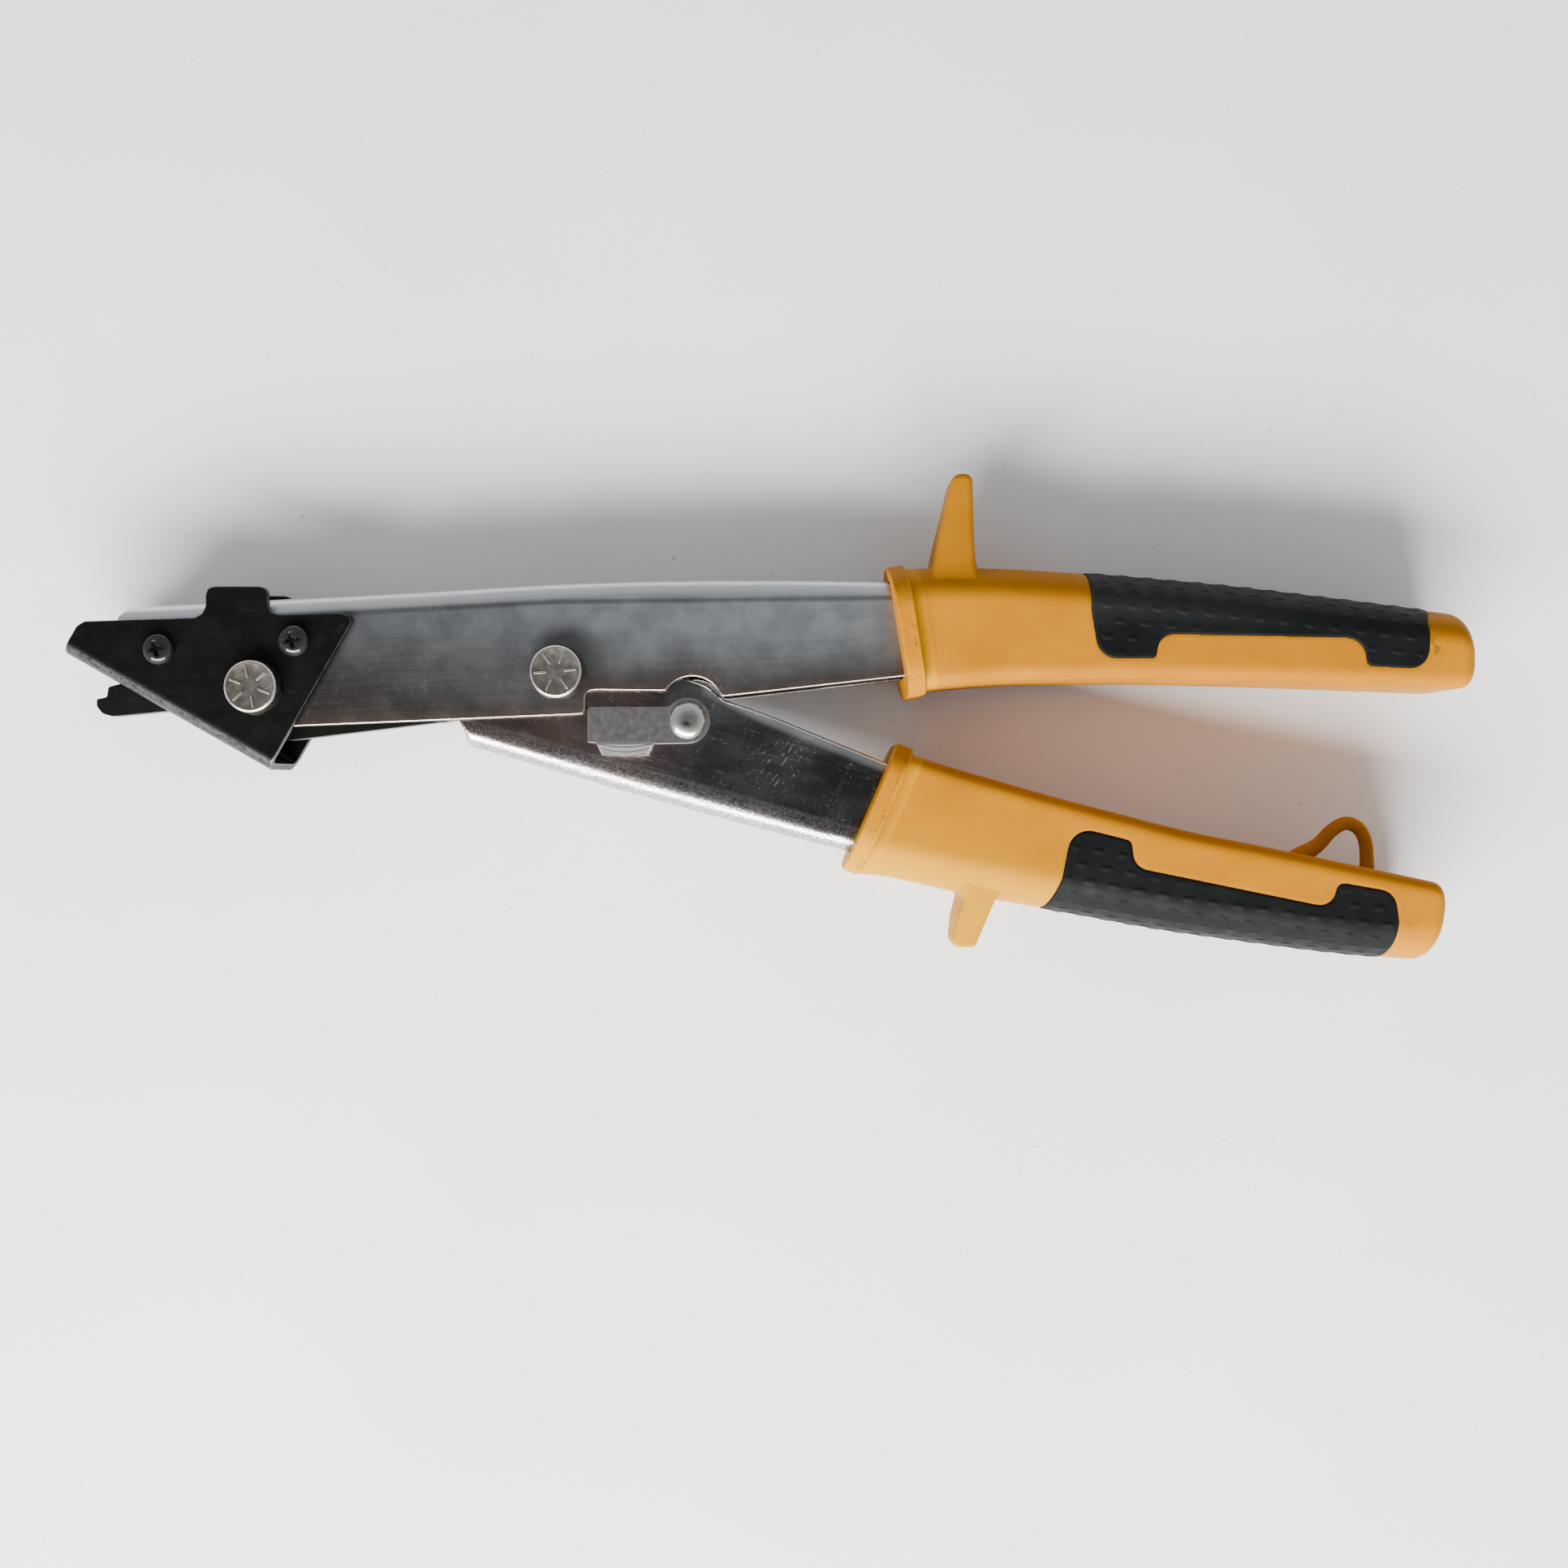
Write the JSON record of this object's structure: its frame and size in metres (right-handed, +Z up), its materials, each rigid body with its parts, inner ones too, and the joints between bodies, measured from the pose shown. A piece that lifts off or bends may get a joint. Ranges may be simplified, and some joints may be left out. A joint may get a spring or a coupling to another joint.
{
  "type": "sheet nibbler",
  "caption": "Hand nibbler for roofing and siding sheet: folded steel body, slotted die, pivoting punch, lever, locking latch and two moulded grips with rubber inlays.",
  "frame": {"origin": "under the middle of the whole tool's box, on the plane the tool lies on", "axes": "+X from the jaw towards the handle ends, +Y from the squeezed lower grip towards the upper grip, +Z up, along the pivots, towards the bolt heads"},
  "size_m": [0.2842, 0.0992, 0.03],
  "materials": {
    "plated_body_steel": "zinc-plated sheet, fine brushing, light scratches",
    "black_die_steel": "black oxide, worn along the fold",
    "black_screw_steel": "glossy black oxide",
    "plated_bolt_steel": "dull plated steel, bright rims",
    "sleeve_steel": "turned steel",
    "black_blade_steel": "hardened dark steel",
    "spring_wire": "spring wire",
    "amber_plastic": "satin amber-yellow moulded plastic",
    "black_rubber": "satin black rubber with crescent dimples",
    "bright_lever_steel": "bright plated sheet, speckled and scratched",
    "bright_rivet_steel": "bright rivet",
    "nickel_latch_steel": "satin nickel plate"
  },
  "bodies": {
    "body": {"body_channel": "plated_body_steel", "die_shoe": "black_die_steel", "die_screws": "black_screw_steel", "front_bolt": "plated_bolt_steel", "front_nut": "plated_bolt_steel", "blade_sleeve": "sleeve_steel", "blade_spacers": "sleeve_steel", "pivot_bolt": "plated_bolt_steel", "pivot_nut": "plated_bolt_steel", "pivot_sleeve": "sleeve_steel", "opening_spring": "spring_wire", "upper_grip": "amber_plastic", "upper_grip_inlay": "black_rubber"},
    "lever": {"lever_channel": "bright_lever_steel", "drive_pin": "sleeve_steel", "drive_washers": "sleeve_steel", "latch_rivet": "bright_rivet_steel", "lower_grip": "amber_plastic", "lower_grip_inlay": "black_rubber", "hang_loop": "amber_plastic"},
    "blade": {"punch_blade": "black_blade_steel"},
    "latch": {"latch_plate": "nickel_latch_steel"}
  },
  "joints": [
    {"name": "lever_hinge", "type": "hinge", "parent": "body", "child": "lever", "pos_m": [-0.04247, 0.00901, 0.015], "axis": [0, 0, 1], "range_deg": [0, 7.8], "stiffness_Nm_per_rad": 0.4, "springref_deg": -20.05, "deforming": ["opening_spring"]},
    {"name": "blade_hinge", "type": "hinge", "parent": "body", "child": "blade", "pos_m": [-0.10317, 0.00591, 0.015], "axis": [0, 0, 1], "range_deg": [-6.3, 0]},
    {"name": "latch_hinge", "type": "hinge", "parent": "lever", "child": "latch", "pos_m": [-0.01627, -0.00069, 0.021], "axis": [0, 0, 1], "range_deg": [0, 12]}
  ],
  "couplings": [
    {"joint": "blade_hinge", "follows": "lever_hinge", "ratio": -0.797}
  ]
}
